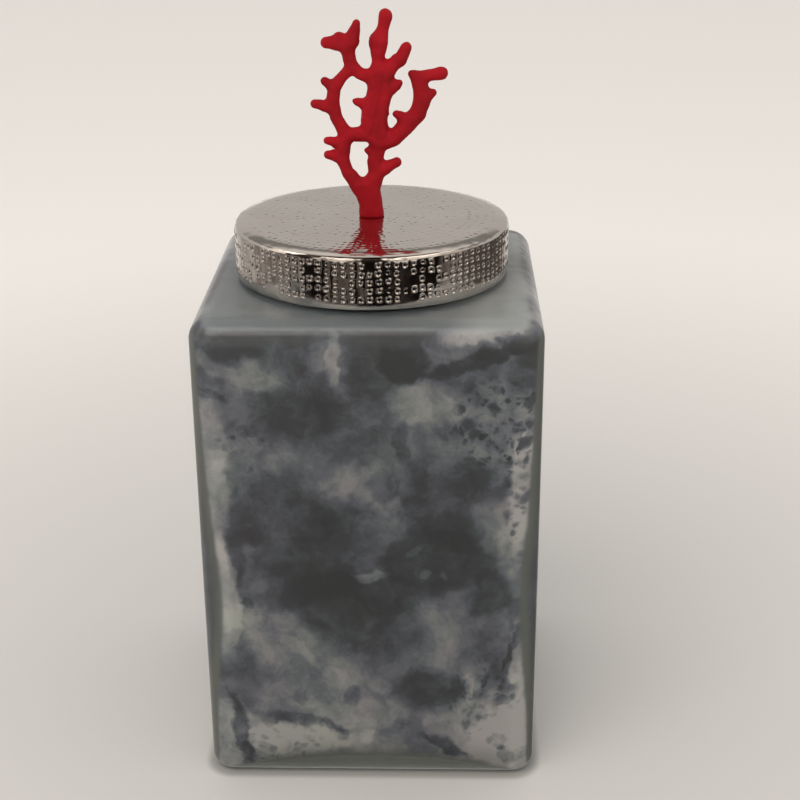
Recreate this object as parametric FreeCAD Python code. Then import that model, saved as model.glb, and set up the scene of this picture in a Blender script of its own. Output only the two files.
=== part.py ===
# Square thick-walled glass canister, enamelled inside, with a round hammered metal lid
# that carries a flat cast coral sprig.
# Millimetres. +Z is up, -Y is the front. The origin is the middle of the jar's underside.
import FreeCAD, Part
import math
import os

Vector = FreeCAD.Vector
UP = Vector(0, 0, 1)

# --- Driving dimensions: glass jar -------------------------------------------------
BODY_WIDTH = 125.0
SHOULDER_Z = 184.6
SIDE_EDGE_RADIUS = 9.0
SHOULDER_RADIUS = 8.0
FOOT_RADIUS = 5.5

MOUTH_RADIUS = 44.0
NECK_WALL = 4.0
NECK_HEIGHT = 12.4
NECK_ROOT_RADIUS = 1.5
LIP_RADIUS = 1.2

# Wall thickness of the four sides, as (height, thickness): slumped glass is thickest low down.
WALL_PROFILE = [(1.0, 2.2), (36.0, 4.0), (71.0, 6.0), (108.0, 4.5), (143.0, 3.0), (182.0, 2.0)]
CAVITY_EDGE_RADIUS = 8.0
ROOF_THICKNESS = 4.5
ROOF_EDGE_RADIUS = 6.0
FLOOR_CENTRE_Z = 15.8
FLOOR_DOME_RADIUS = 244.0
LINING_THICKNESS = 0.4

# --- Driving dimensions: lid -------------------------------------------------------
LID_RADIUS = 51.6
LID_HEIGHT = 20.1
LID_GAP = 1.4
LID_SHEET = 1.2
LID_RIM_RADIUS = 1.5
LID_EASE_WIDTH = 10.0
LID_EASE_RADIUS = 45.0

INSERT_WEB = 2.0
INSERT_EDGE_GAP = 0.1
INSERT_WALL = 2.5
INSERT_BEAD = 0.7
INSERT_BEAD_HEIGHT = 1.5
SEAL_FLANGE = 1.5
SEAL_FLANGE_OVERLAP = 3.3
SEAL_WALL = 1.1
SEAL_LIP_HEIGHT = 1.0
TURN_CLEARANCE = 0.3
BORE_CLEARANCE = 0.3

# --- Driving dimensions: fixing of the finial (M4) ----------------------------------
SCREW_RADIUS = 2.0
SCREW_LENGTH = 14.0
SCREW_HOLE_RADIUS = 2.25
HEAD_RADIUS = 4.0
HEAD_HEIGHT = 2.6
RECESS_WIDTH = 1.0
RECESS_SPAN = 4.0
RECESS_DEPTH = 1.6
WASHER_RADIUS = 5.0
WASHER_THICKNESS = 0.8
SPRING_WASHER_RADIUS = 3.8
SPRING_WASHER_THICKNESS = 1.0
SPRING_WASHER_SPLIT = 0.8
TAPPED_DEPTH = 11.0

# --- Driving dimensions: coral sprig -------------------------------------------------
CORAL_THICKNESS = 6.4
NESTED_JOINT = 0.97

# Each branch is a row of (x, height above the lid, radius) along its middle line.
CORAL_BRANCHES = {
    "trunk": [(0.0, 0.0, 4.6), (-0.3, 5.0, 4.1), (-1.4, 9.6, 4.6)],
    "left_limb_low": [(-1.9, 9.6, 4.3), (-5.5, 12.3, 2.7), (-8.9, 17.0, 2.1), (-10.3, 21.3, 2.3)],
    "left_limb_high": [(-10.3, 21.3, 2.2), (-10.0, 26.5, 2.3), (-8.8, 30.6, 2.4)],
    "left_limb_high_stub": [(-9.8, 27.0, 1.9), (-13.8, 28.2, 1.5), (-16.2, 28.6, 1.2)],
    "left_limb_low_stub": [(-10.5, 21.8, 2.2), (-14.0, 22.9, 1.7), (-15.9, 23.2, 1.4)],
    "bridge": [(-8.8, 30.6, 2.3), (-4.6, 31.0, 2.5), (1.0, 31.4, 3.4)],
    "centre_low": [(-0.6, 10.4, 3.8), (2.0, 16.0, 2.7), (1.4, 20.7, 2.6), (2.7, 25.0, 2.4), (2.7, 30.0, 3.8)],
    "centre_high": [(2.2, 31.4, 4.5), (1.4, 36.0, 4.7), (2.0, 41.0, 4.7), (3.8, 46.5, 4.4), (3.4, 51.8, 4.2)],
    "low_window_tooth": [(1.4, 24.2, 2.0), (-1.4, 24.9, 0.9)],
    "high_window_tooth": [(-1.2, 41.8, 2.2), (-4.6, 42.8, 1.3), (-5.7, 43.2, 0.8)],
    "right_stub": [(6.3, 47.4, 2.8), (9.6, 49.0, 1.8), (10.7, 49.7, 1.2)],
    "right_fork": [(5.3, 51.6, 2.8), (8.2, 56.3, 2.3), (11.4, 58.2, 2.2), (13.4, 62.5, 1.8)],
    "right_fork_bump": [(9.6, 57.0, 2.0), (9.6, 58.4, 1.6)],
    "crown": [(3.2, 53.4, 3.4), (3.0, 57.3, 1.8), (3.3, 64.6, 3.3), (5.1, 69.2, 1.8), (6.0, 73.8, 2.3)],
    "left_fork": [(0.6, 52.0, 2.6), (-3.7, 53.2, 1.8), (-6.7, 56.3, 2.2), (-7.7, 60.5, 2.2), (-8.3, 63.6, 3.1)],
    "left_fork_knob": [(-8.3, 63.6, 3.0), (-13.0, 64.3, 2.3), (-15.6, 64.3, 1.9)],
    "left_fork_bump": [(-8.8, 64.2, 2.6), (-11.1, 66.2, 1.8)],
    "left_fork_prong": [(-6.4, 64.7, 2.6), (-5.6, 67.9, 2.0), (-4.5, 71.1, 1.3)],
    "window_high": [(-6.6, 55.5, 2.1), (-9.6, 52.6, 1.8), (-13.2, 48.1, 2.2), (-13.6, 42.7, 2.2)],
    "window_low": [(-13.6, 42.7, 2.1), (-12.8, 37.4, 2.0), (-9.5, 31.7, 2.4)],
    "window_high_stub": [(-13.3, 48.1, 2.0), (-15.2, 49.6, 1.5), (-16.5, 50.6, 1.4)],
    "window_low_stub": [(-13.6, 40.3, 2.2), (-18.1, 41.9, 1.7), (-20.4, 42.2, 1.4)],
    "right_limb_low": [(3.1, 28.0, 3.4), (8.6, 29.4, 2.9), (12.6, 33.4, 2.9), (17.6, 38.8, 2.9)],
    "right_limb_high": [(17.6, 38.8, 2.8), (19.0, 43.0, 3.0), (18.8, 47.0, 2.7), (18.0, 50.9, 2.7)],
    "right_limb_thorn": [(17.6, 51.6, 2.3), (15.7, 52.9, 1.4), (14.8, 53.2, 0.8)],
    "right_limb_horn": [(18.1, 51.5, 2.4), (21.8, 52.6, 1.9), (26.2, 53.2, 2.2)],
    "right_limb_nub": [(20.0, 44.6, 2.6), (23.3, 46.3, 1.0)],
    "right_limb_spur": [(13.0, 36.0, 2.4), (10.7, 38.0, 1.4), (9.7, 38.4, 1.2)],
    "low_twig": [(2.2, 16.3, 2.6), (6.6, 19.0, 2.0), (9.7, 20.4, 1.6)],
}

# --- Heights and radii that follow from them -----------------------------------------
HALF_WIDTH = BODY_WIDTH / 2
NECK_RADIUS = MOUTH_RADIUS + NECK_WALL
NECK_TOP = SHOULDER_Z + NECK_HEIGHT
ROOF_Z = SHOULDER_Z - ROOF_THICKNESS

LID_BOTTOM = SHOULDER_Z + LID_GAP
LID_TOP = LID_BOTTOM + LID_HEIGHT
LID_CEILING = LID_TOP - LID_SHEET
LID_INNER_RADIUS = LID_RADIUS - LID_SHEET

SEAL_TOP = NECK_TOP + SEAL_FLANGE
SEAL_OUTER_RADIUS = MOUTH_RADIUS + SEAL_FLANGE_OVERLAP
SEAL_LIP_RADIUS = MOUTH_RADIUS - BORE_CLEARANCE
SEAL_TUBE_RADIUS = SEAL_LIP_RADIUS - 1.0
SEAL_INNER_RADIUS = SEAL_TUBE_RADIUS - SEAL_WALL
INSERT_RADIUS = SEAL_INNER_RADIUS - TURN_CLEARANCE
INSERT_INNER_RADIUS = INSERT_RADIUS - INSERT_WALL
INSERT_BOTTOM = LID_BOTTOM + 1.0
SEAL_BOTTOM = INSERT_BOTTOM + INSERT_BEAD_HEIGHT + TURN_CLEARANCE

WEB_BOTTOM = LID_CEILING - INSERT_WEB
WASHER_BOTTOM = WEB_BOTTOM - WASHER_THICKNESS
SPRING_WASHER_BOTTOM = WASHER_BOTTOM - SPRING_WASHER_THICKNESS
HEAD_BOTTOM = SPRING_WASHER_BOTTOM - HEAD_HEIGHT


def revolve(points):
    """Turn a closed outline of (radius, height) points about the Z axis."""
    corners = [Vector(radius, 0, height) for radius, height in points]
    face = Part.Face(Part.makePolygon(corners + corners[:1]))
    return face.revolve(Vector(), UP, 360)


def cylinder(radius, bottom, top):
    return Part.makeCylinder(radius, top - bottom, Vector(0, 0, bottom))


def ring(inner, outer, bottom, top):
    return cylinder(outer, bottom, top).cut(cylinder(inner, bottom, top))


def edges_at_height(shape, height, radius=None):
    """Edges that lie wholly at one height, all of them or only circles of one radius."""
    found = []
    for edge in shape.Edges:
        box = edge.BoundBox
        if abs(box.ZMin - height) > 0.01 or abs(box.ZMax - height) > 0.01:
            continue
        if radius is None or abs(box.XLength / 2 - radius) < 0.01:
            found.append(edge)
    return found


def standing_edges(shape, shortest):
    """Edges taller than a given height: the corner edges of a square block."""
    return [edge for edge in shape.Edges if edge.BoundBox.ZLength > shortest]


# --- Glass jar and its enamel lining --------------------------------------------------
def jar_block():
    """The outside of the square body, with its edges rounded."""
    corner = Vector(-HALF_WIDTH, -HALF_WIDTH, 0)
    block = Part.makeBox(BODY_WIDTH, BODY_WIDTH, SHOULDER_Z, corner)
    block = block.makeFillet(SIDE_EDGE_RADIUS, standing_edges(block, SHOULDER_Z / 2))
    block = block.makeFillet(SHOULDER_RADIUS, edges_at_height(block, SHOULDER_Z))
    return block.makeFillet(FOOT_RADIUS, edges_at_height(block, 0))


def curved_wall_prism(inset):
    """A front-to-back prism whose two sides follow the wall profile, moved in by inset."""
    right = [Vector(HALF_WIDTH - wall - inset, 0, z) for z, wall in WALL_PROFILE]
    left = [Vector(-point.x, 0, point.z) for point in reversed(right)]
    right_side = Part.BSplineCurve()
    right_side.interpolate(right)
    left_side = Part.BSplineCurve()
    left_side.interpolate(left)
    outline = Part.Wire([
        right_side.toShape(),
        Part.makeLine(right[-1], left[0]),
        left_side.toShape(),
        Part.makeLine(left[-1], right[0]),
    ])
    prism = Part.Face(outline).extrude(Vector(0, BODY_WIDTH, 0))
    prism.translate(Vector(0, -HALF_WIDTH, 0))
    return prism


def cavity(inset):
    """The hollow of the body: waisted walls, flat roof and domed floor, moved in by inset."""
    sides = curved_wall_prism(inset)
    front_and_back = sides.copy()
    front_and_back.rotate(Vector(), UP, 90)
    hollow = sides.common(front_and_back)
    roof = Part.makeBox(BODY_WIDTH, BODY_WIDTH, ROOF_Z - inset, Vector(-HALF_WIDTH, -HALF_WIDTH, 0))
    hollow = hollow.common(roof)
    hollow = hollow.makeFillet(CAVITY_EDGE_RADIUS - inset, standing_edges(hollow, ROOF_Z / 2))
    hollow = hollow.makeFillet(ROOF_EDGE_RADIUS - inset, edges_at_height(hollow, ROOF_Z - inset))
    dome_centre = Vector(0, 0, FLOOR_CENTRE_Z - FLOOR_DOME_RADIUS)
    dome = Part.makeSphere(FLOOR_DOME_RADIUS + inset, dome_centre)
    return hollow.cut(dome)


def mouth_bore():
    return cylinder(MOUTH_RADIUS, ROOF_Z - ROOF_EDGE_RADIUS, NECK_TOP)


def glass_jar():
    neck = cylinder(NECK_RADIUS, ROOF_Z, NECK_TOP)
    jar = jar_block().fuse(neck).removeSplitter()
    jar = jar.makeFillet(NECK_ROOT_RADIUS, edges_at_height(jar, SHOULDER_Z, NECK_RADIUS))
    jar = jar.cut(mouth_bore()).cut(cavity(0))
    lip = edges_at_height(jar, NECK_TOP, NECK_RADIUS) + edges_at_height(jar, NECK_TOP, MOUTH_RADIUS)
    return jar.makeFillet(LIP_RADIUS, lip)


def marbled_lining():
    """The enamel coat on the inside of the glass, open at the mouth."""
    return cavity(0).cut(cavity(LINING_THICKNESS)).cut(mouth_bore())


# --- Lid --------------------------------------------------------------------------------
def arc(centre, radius, start_angle, end_angle):
    """An arc in the XZ plane, by angles from the Z axis towards the X axis."""
    middle_angle = (start_angle + end_angle) / 2
    points = []
    for angle in (start_angle, middle_angle, end_angle):
        points.append(centre + Vector(math.sin(angle), 0, math.cos(angle)) * radius)
    return Part.Arc(*points).toShape()


def lid_block(inset):
    """A solid lid shape moved in by inset: flat top, a soft fall to the rim, a small rim round."""
    rim_radius = LID_RIM_RADIUS - inset
    ease_start = LID_RADIUS - LID_EASE_WIDTH
    ease_centre = Vector(ease_start, 0, LID_TOP - LID_EASE_RADIUS)
    ease_reach = LID_RADIUS - LID_RIM_RADIUS - ease_start
    centre_gap = LID_EASE_RADIUS - LID_RIM_RADIUS
    ease_angle = math.asin(ease_reach / centre_gap)
    rim_centre = ease_centre + Vector(ease_reach, 0, centre_gap * math.cos(ease_angle))
    ease = arc(ease_centre, LID_EASE_RADIUS - inset, 0, ease_angle)
    rim = arc(rim_centre, rim_radius, ease_angle, math.pi / 2)
    top_middle = Vector(0, 0, LID_TOP - inset)
    rim_foot = rim_centre + Vector(rim_radius, 0, 0)
    bottom_edge = Vector(rim_foot.x, 0, LID_BOTTOM)
    bottom_middle = Vector(0, 0, LID_BOTTOM)
    outline = Part.Wire([
        Part.makeLine(top_middle, ease_centre + Vector(0, 0, LID_EASE_RADIUS - inset)),
        ease,
        rim,
        Part.makeLine(rim_foot, bottom_edge),
        Part.makeLine(bottom_edge, bottom_middle),
        Part.makeLine(bottom_middle, top_middle),
    ])
    return Part.Face(outline).revolve(Vector(), UP, 360)


def lid_cap():
    """The hammered metal cap, drawn from one sheet, with the screw hole in its middle."""
    screw_hole = cylinder(SCREW_HOLE_RADIUS, LID_BOTTOM, LID_TOP)
    return lid_block(0).cut(lid_block(LID_SHEET)).cut(screw_hole)


def lid_insert():
    """The moulded liner in the cap: a web under the ceiling, a flange and a plug skirt."""
    edge = LID_INNER_RADIUS - INSERT_EDGE_GAP
    bead_radius = INSERT_RADIUS + INSERT_BEAD
    bead_top = INSERT_BOTTOM + INSERT_BEAD_HEIGHT
    moulding = revolve([
        (SCREW_HOLE_RADIUS, LID_TOP),
        (edge, LID_TOP),
        (edge, SEAL_TOP),
        (INSERT_RADIUS, SEAL_TOP),
        (INSERT_RADIUS, bead_top),
        (bead_radius, bead_top - INSERT_BEAD),
        (INSERT_RADIUS, INSERT_BOTTOM),
        (INSERT_INNER_RADIUS, INSERT_BOTTOM),
        (INSERT_INNER_RADIUS, WEB_BOTTOM),
        (SCREW_HOLE_RADIUS, WEB_BOTTOM),
    ])
    return moulding.common(lid_block(LID_SHEET))


def lid_seal():
    """The silicone ring: a flange on the glass lip and a sleeve with two lips in the mouth."""
    sleeve = ring(SEAL_INNER_RADIUS, SEAL_TUBE_RADIUS, SEAL_BOTTOM, SEAL_TOP)
    flange = ring(SEAL_INNER_RADIUS, SEAL_OUTER_RADIUS, NECK_TOP, SEAL_TOP)
    seal = sleeve.fuse(flange)
    for lip_z in (SEAL_BOTTOM + 1.0, SEAL_BOTTOM + 4.0):
        lip = revolve([
            (SEAL_TUBE_RADIUS - SEAL_WALL / 2, lip_z),
            (SEAL_LIP_RADIUS, lip_z + SEAL_LIP_HEIGHT / 2),
            (SEAL_TUBE_RADIUS - SEAL_WALL / 2, lip_z + SEAL_LIP_HEIGHT),
        ])
        seal = seal.fuse(lip)
    return seal


# --- Finial fixing ------------------------------------------------------------------------
def finial_screw():
    """Pan-head M4 screw, head down, with a cross recess."""
    head = cylinder(HEAD_RADIUS, HEAD_BOTTOM, SPRING_WASHER_BOTTOM)
    head = head.makeFillet(HEAD_HEIGHT / 2, edges_at_height(head, HEAD_BOTTOM))
    shank = cylinder(SCREW_RADIUS, SPRING_WASHER_BOTTOM, SPRING_WASHER_BOTTOM + SCREW_LENGTH)
    screw = head.fuse(shank)
    for angle in (0, 90):
        slot = Part.makeBox(RECESS_SPAN, RECESS_WIDTH, RECESS_DEPTH)
        slot.translate(Vector(-RECESS_SPAN / 2, -RECESS_WIDTH / 2, HEAD_BOTTOM))
        slot.rotate(Vector(), UP, angle)
        screw = screw.cut(slot)
    return screw


def flat_washer():
    return ring(SCREW_HOLE_RADIUS, WASHER_RADIUS, WASHER_BOTTOM, WEB_BOTTOM)


def spring_washer():
    """A split ring under the screw's head."""
    washer = ring(SCREW_HOLE_RADIUS, SPRING_WASHER_RADIUS, SPRING_WASHER_BOTTOM, WASHER_BOTTOM)
    split = Part.makeBox(SPRING_WASHER_RADIUS, SPRING_WASHER_SPLIT, SPRING_WASHER_THICKNESS)
    split.translate(Vector(0, -SPRING_WASHER_SPLIT / 2, SPRING_WASHER_BOTTOM))
    return washer.cut(split)


# --- Coral sprig ----------------------------------------------------------------------------
def tapered_rod(start, end, start_radius, end_radius):
    """A cone between two balls that it touches smoothly, as one solid of revolution."""
    run = end - start
    length = run.Length
    lean = math.asin((start_radius - end_radius) / length)
    touch_angle = math.pi / 2 - lean
    end_centre = Vector(0, 0, length)
    start_ball = arc(Vector(), start_radius, math.pi, touch_angle)
    end_ball = arc(end_centre, end_radius, touch_angle, 0)
    side = Vector(math.sin(touch_angle), 0, math.cos(touch_angle))
    outline = Part.Wire([
        start_ball,
        Part.makeLine(side * start_radius, end_centre + side * end_radius),
        end_ball,
        Part.makeLine(Vector(0, 0, length + end_radius), Vector(0, 0, -start_radius)),
    ])
    rod = Part.Face(outline).revolve(Vector(), UP, 360)
    rod.Placement = FreeCAD.Placement(start, FreeCAD.Rotation(UP, run))
    return rod


def branch_rods(points):
    """The rods of one branch; each starts a little thinner, nested in the last one's ball."""
    rods = []
    for first, second in zip(points, points[1:]):
        start = Vector(first[0], 0, LID_TOP + first[1])
        end = Vector(second[0], 0, LID_TOP + second[1])
        rods.append(tapered_rod(start, end, first[2] * NESTED_JOINT, second[2]))
    return rods


def coral_finial():
    """The flat sprig: rods fused, faced off front and back, foot cut level and tapped."""
    rods = []
    for points in CORAL_BRANCHES.values():
        rods.extend(branch_rods(points))
    sprig = rods[0].multiFuse(rods[1:])
    slab = Part.makeBox(BODY_WIDTH, CORAL_THICKNESS, BODY_WIDTH)
    slab.translate(Vector(-HALF_WIDTH, -CORAL_THICKNESS / 2, LID_TOP))
    sprig = sprig.common(slab)
    return sprig.cut(cylinder(SCREW_RADIUS, LID_TOP, LID_TOP + TAPPED_DEPTH))


PARTS = {
    "glass_jar": glass_jar,
    "marbled_lining": marbled_lining,
    "lid_cap": lid_cap,
    "lid_insert": lid_insert,
    "lid_seal": lid_seal,
    "coral_finial": coral_finial,
    "finial_screw": finial_screw,
    "flat_washer": flat_washer,
    "spring_washer": spring_washer,
}

os.makedirs("parts", exist_ok=True)
for name, build in PARTS.items():
    shape = build()
    box = shape.BoundBox
    print(name, "solids", len(shape.Solids), "valid", shape.isValid(), "volume %.0f mm3" % shape.Volume)
    print("   z %.2f to %.2f, x %.2f to %.2f" % (box.ZMin, box.ZMax, box.XMin, box.XMax))
    shape.exportStep("parts/%s.step" % name)
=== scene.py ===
import math
import random

import bmesh
import bpy
from mathutils import Matrix, Vector, noise


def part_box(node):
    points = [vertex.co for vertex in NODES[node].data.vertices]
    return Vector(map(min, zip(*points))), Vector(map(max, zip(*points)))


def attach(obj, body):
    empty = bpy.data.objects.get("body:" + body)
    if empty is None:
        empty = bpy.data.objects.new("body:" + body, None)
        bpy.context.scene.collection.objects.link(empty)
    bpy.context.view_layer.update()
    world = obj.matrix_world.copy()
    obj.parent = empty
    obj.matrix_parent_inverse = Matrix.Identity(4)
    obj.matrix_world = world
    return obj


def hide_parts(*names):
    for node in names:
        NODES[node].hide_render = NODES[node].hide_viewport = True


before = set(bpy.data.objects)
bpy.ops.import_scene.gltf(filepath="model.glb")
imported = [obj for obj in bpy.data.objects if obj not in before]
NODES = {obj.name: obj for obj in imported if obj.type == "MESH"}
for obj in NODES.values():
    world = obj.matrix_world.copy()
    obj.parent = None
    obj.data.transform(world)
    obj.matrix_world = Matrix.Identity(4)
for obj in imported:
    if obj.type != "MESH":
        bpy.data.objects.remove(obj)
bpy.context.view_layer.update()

# --- Sizes read from the frame ----------------------------------------------------------
JAR_LOW, JAR_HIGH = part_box("glass_jar")
LID_LOW, LID_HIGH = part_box("lid_cap")
CORAL_LOW, CORAL_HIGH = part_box("coral_finial")
WIDTH = JAR_HIGH.x - JAR_LOW.x
LID_RADIUS = LID_HIGH.x
LID_TOP = LID_HIGH.z
MM = 0.001


# --- Small helpers ----------------------------------------------------------------------
def node(material, kind, inputs=None, **settings):
    """Add a node to a material, world or group; inputs are values or sockets, by name or number."""
    tree = getattr(material, "node_tree", material)
    made = tree.nodes.new(kind)
    for name, value in settings.items():
        setattr(made, name, value)
    for name, value in (inputs or {}).items():
        if isinstance(value, bpy.types.NodeSocket):
            tree.links.new(value, made.inputs[name])
        else:
            made.inputs[name].default_value = value
    return made


def maths(material, operation, first, second=0.0, third=0.0):
    return node(material, "ShaderNodeMath", {0: first, 1: second, 2: third}, operation=operation).outputs[0]


def vector_maths(material, operation, first, second=(0.0, 0.0, 0.0), scale=1.0):
    made = node(material, "ShaderNodeVectorMath", {0: first, 1: second, 3: scale}, operation=operation)
    return made.outputs["Value" if operation in ("LENGTH", "DOT_PRODUCT") else "Vector"]


def size_of(material, value):
    return maths(material, "ABSOLUTE", value)


def parts_of(material, vector):
    """The X, Y and Z of a vector or of a colour."""
    return node(material, "ShaderNodeSeparateXYZ", {"Vector": vector}).outputs


def smooth_step(material, value, start, end, low=0.0, high=1.0):
    """A soft step from low to high as a value goes from start to end."""
    inputs = {"Value": value, "From Min": start, "From Max": end, "To Min": low, "To Max": high}
    return node(material, "ShaderNodeMapRange", inputs, interpolation_type="SMOOTHSTEP").outputs["Result"]


def ramp(material, value, stops):
    """A colour ramp; stops are (place, (r, g, b))."""
    made = node(material, "ShaderNodeValToRGB", {"Fac": value})
    elements = made.color_ramp.elements
    while len(elements) < len(stops):
        elements.new(0.5)
    for element, (place, colour) in zip(elements, stops):
        element.position = place
        element.color = (*colour, 1.0)
    return made.outputs["Color"]


def noise_texture(material, coords, scale, detail=3.0, roughness=0.5, distortion=0.0, output="Fac"):
    inputs = {"Vector": coords, "Scale": scale, "Detail": detail, "Roughness": roughness}
    inputs["Distortion"] = distortion
    return node(material, "ShaderNodeTexNoise", inputs).outputs[output]


def mix_colour(material, factor, first, second, blend="MIX"):
    """Mix two colours, each a socket or three numbers."""
    made = node(material, "ShaderNodeMix", data_type="RGBA", blend_type=blend)
    for name, value in (("Factor", factor), ("A", first), ("B", second)):
        socket = [s for s in made.inputs if s.name == name and s.enabled][0]
        if isinstance(value, bpy.types.NodeSocket):
            material.node_tree.links.new(value, socket)
        elif name == "Factor":
            socket.default_value = value
        else:
            socket.default_value = (*value, 1.0)
    return [s for s in made.outputs if s.enabled][0]


def new_material(name, **sockets):
    """A Principled material with plain values set on its sockets."""
    material = bpy.data.materials.new(name)
    material.use_nodes = True
    shader = material.node_tree.nodes["Principled BSDF"]
    for socket, value in sockets.items():
        shader.inputs[socket.replace("_", " ")].default_value = value
    return material, shader


def object_coords(material):
    return node(material, "ShaderNodeTexCoord").outputs["Object"]


def join(material, output, shader, socket):
    material.node_tree.links.new(output, shader.inputs[socket])


def clouded(material, shader, scale, dark, light, detail=3.0, edges=(0.3, 0.7)):
    """Colour a material with soft clouds between two close colours."""
    cloud = noise_texture(material, object_coords(material), scale, detail)
    join(material, ramp(material, cloud, list(zip(edges, (dark, light)))), shader, "Base Color")


def bump(material, shader, height, strength, distance):
    made = node(material, "ShaderNodeBump", {"Height": height, "Strength": strength, "Distance": distance})
    join(material, made.outputs["Normal"], shader, "Normal")


def paint_node(name, material):
    """Give a CAD node a new material."""
    mesh = NODES[name].data
    mesh.materials.clear()
    mesh.materials.append(material)


def new_piece(name, mesh, material, body, replaced):
    """A visual piece that rides on a body in place of a CAD node."""
    piece = bpy.data.objects.new(name, mesh)
    bpy.context.scene.collection.objects.link(piece)
    mesh.materials.clear()
    mesh.materials.append(material)
    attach(piece, body)
    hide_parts(replaced)
    return piece


# --- Glass ------------------------------------------------------------------------------
GLASS_TINT = (0.95, 0.98, 0.97, 1.0)
GLASS_ABSORBS = {"Color": (0.66, 0.72, 0.69, 1.0), "Density": 12.0}


def satin_glass():
    """Faintly green glass, acid-etched outside."""
    material, shader = new_material(
        "satin_glass", Base_Color=GLASS_TINT, Roughness=0.25, IOR=1.5, Transmission_Weight=1.0)
    etch = noise_texture(material, object_coords(material), scale=900.0, detail=2.0)
    bump(material, shader, etch, strength=0.05, distance=0.2 * MM)
    absorption = node(material, "ShaderNodeVolumeAbsorption", GLASS_ABSORBS)
    output = material.node_tree.nodes["Material Output"]
    material.node_tree.links.new(absorption.outputs["Volume"], output.inputs["Volume"])
    return material


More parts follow.
